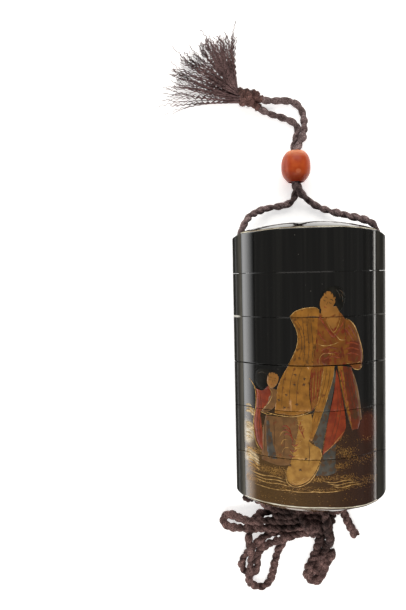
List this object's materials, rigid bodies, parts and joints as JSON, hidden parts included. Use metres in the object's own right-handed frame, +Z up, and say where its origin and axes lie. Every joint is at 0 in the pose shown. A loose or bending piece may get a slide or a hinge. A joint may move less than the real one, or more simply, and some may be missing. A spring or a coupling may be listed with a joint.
{
  "type": "inro case",
  "caption": "Stacked lacquered inro case with a domed lid, lying on its back, strung on a silk cord with a coral bead, a tied bow and a frayed tassel.",
  "frame": {"origin": "middle of the narrow flat along the case's back, on the table, centred between the sides and between the ends", "axes": "+X across the case towards its right side seen from the front, +Y along the case towards the lid, bead and tassel, +Z up out of the front face"},
  "size_m": [0.076, 0.2041, 0.026],
  "materials": {
    "lacquer": "polished black lacquer with gold, red and blue-grey decoration",
    "coral": "polished orange-red coral",
    "silk": "twisted dark brown-purple silk cord, frayed at the tassel"
  },
  "bodies": {
    "root": {"lid": "lacquer", "case_1": "lacquer", "case_2": "lacquer", "case_3": "lacquer", "case_4": "lacquer", "case_5": "lacquer", "ojime": "coral", "cord_inside_left": "silk", "cord_inside_right": "silk", "cord_lid_left": "silk", "cord_lid_right": "silk", "cord_knot_lower": "silk", "cord_knot_upper": "silk", "cord_bow_left": "silk", "cord_bow_right": "silk", "bow_loop_left": "silk", "bow_loop_large": "silk", "bow_loop_ring": "silk", "bow_loop_right": "silk", "bow_end_middle": "silk", "bow_end_right": "silk", "bow_knot": "silk", "tassel_knot": "silk", "tassel": "silk"}
  },
  "joints": []
}
